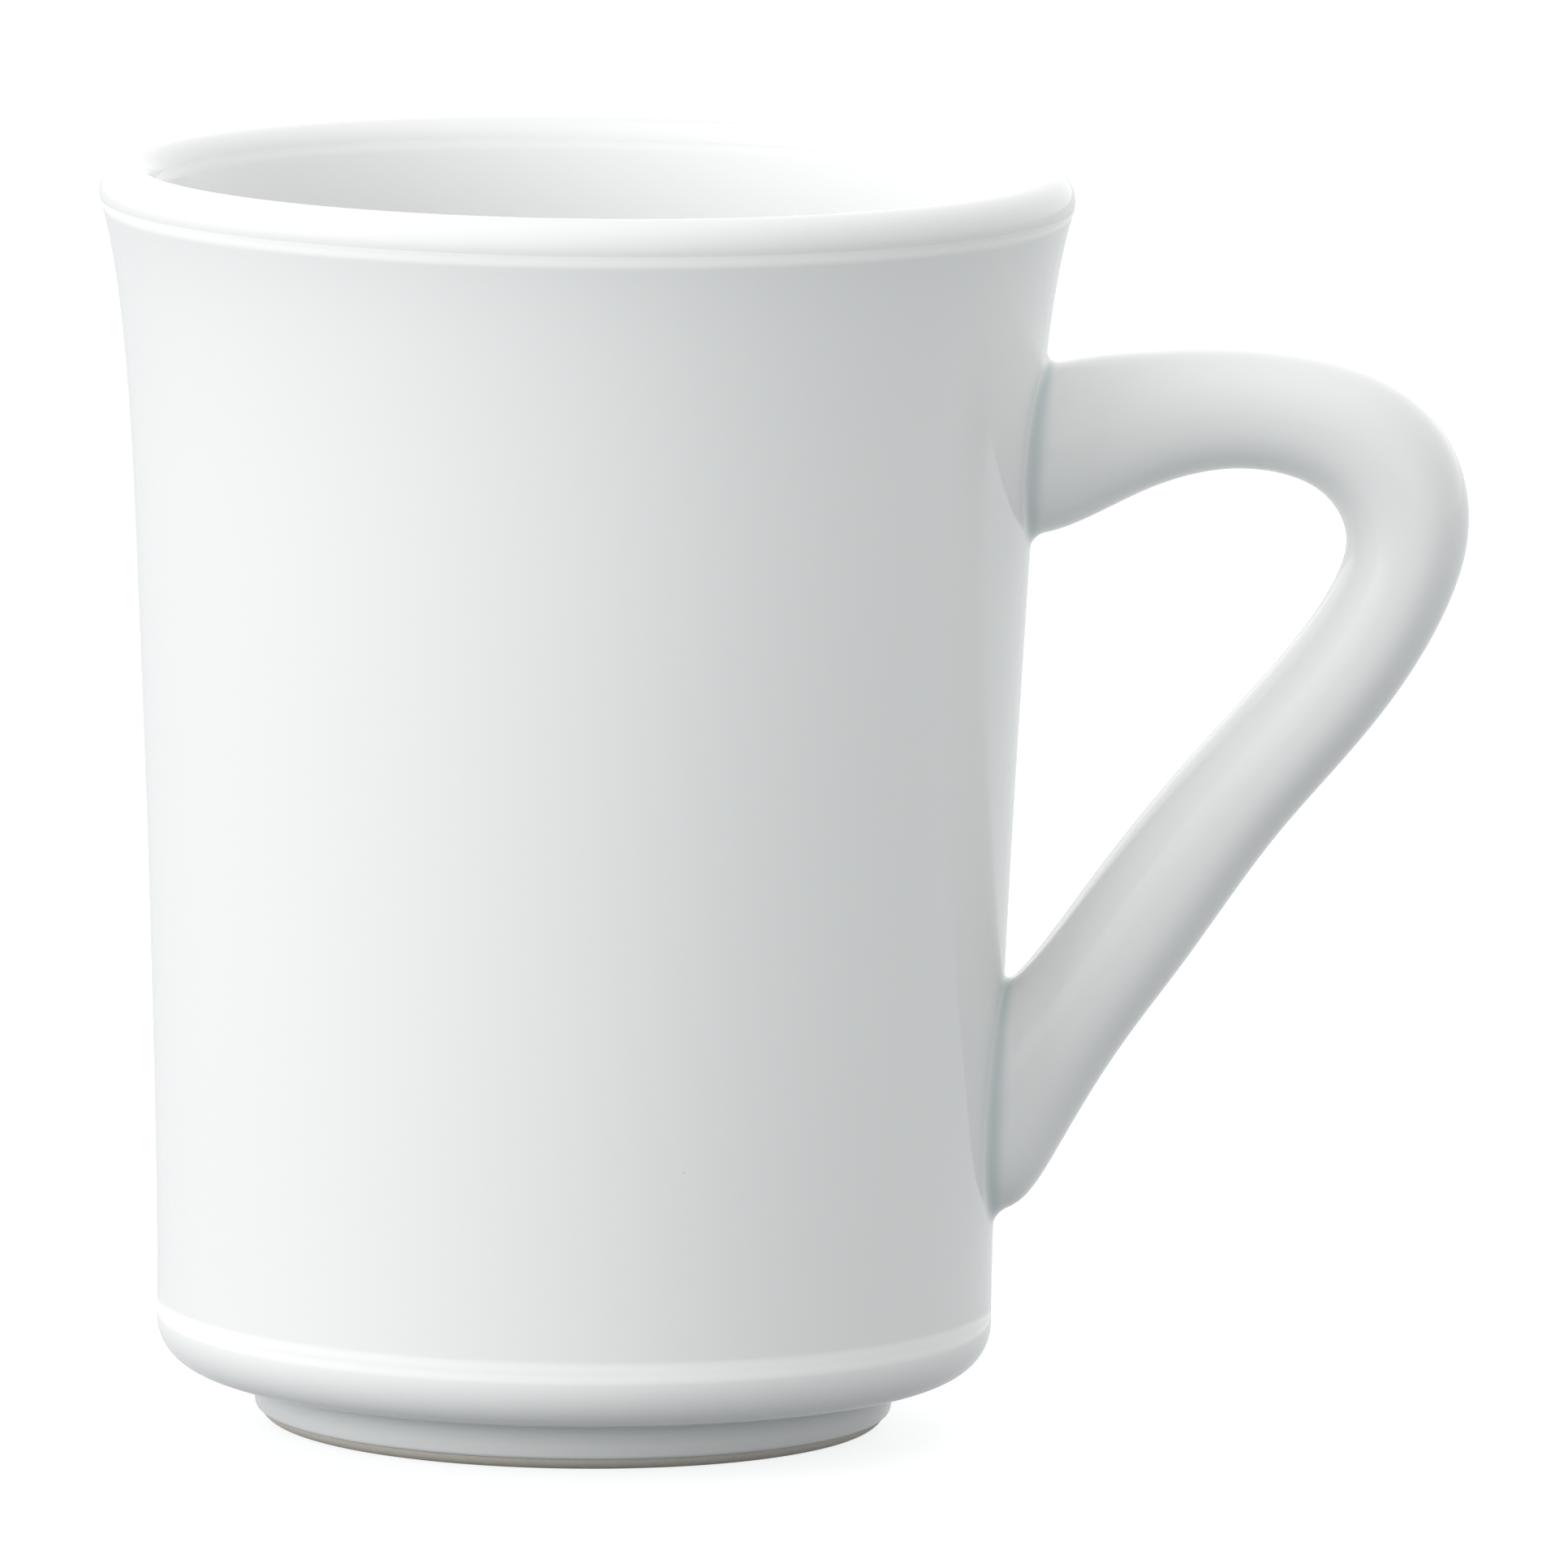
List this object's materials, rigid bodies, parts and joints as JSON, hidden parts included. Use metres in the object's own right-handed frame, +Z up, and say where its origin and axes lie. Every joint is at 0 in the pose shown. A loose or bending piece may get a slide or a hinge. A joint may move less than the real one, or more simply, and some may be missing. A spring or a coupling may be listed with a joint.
{
  "type": "ceramic mug",
  "caption": "Thick-walled glazed ceramic mug with a flared rolled lip, a raised foot ring and a slanted D-shaped handle, for hot drinks.",
  "frame": {"origin": "centre of the foot ring's resting face, on the cup's axis", "axes": "+Z up along the cup's axis, out of its mouth; +X from the axis towards the handle; the XZ plane is the mirror plane"},
  "size_m": [0.1073, 0.0762, 0.099],
  "materials": {
    "porcelain": "matte fired porcelain, bare on the foot",
    "joint_slip": "matte fired slip",
    "outer_glaze": "glossy white",
    "inner_glaze": "glossy white"
  },
  "bodies": {
    "root": {"cup_body": "porcelain", "handle": "porcelain", "upper_slip_joint": "joint_slip", "lower_slip_joint": "joint_slip", "outside_glaze": "outer_glaze", "handle_glaze": "outer_glaze", "underside_glaze": "outer_glaze", "inside_glaze": "inner_glaze"}
  },
  "joints": []
}
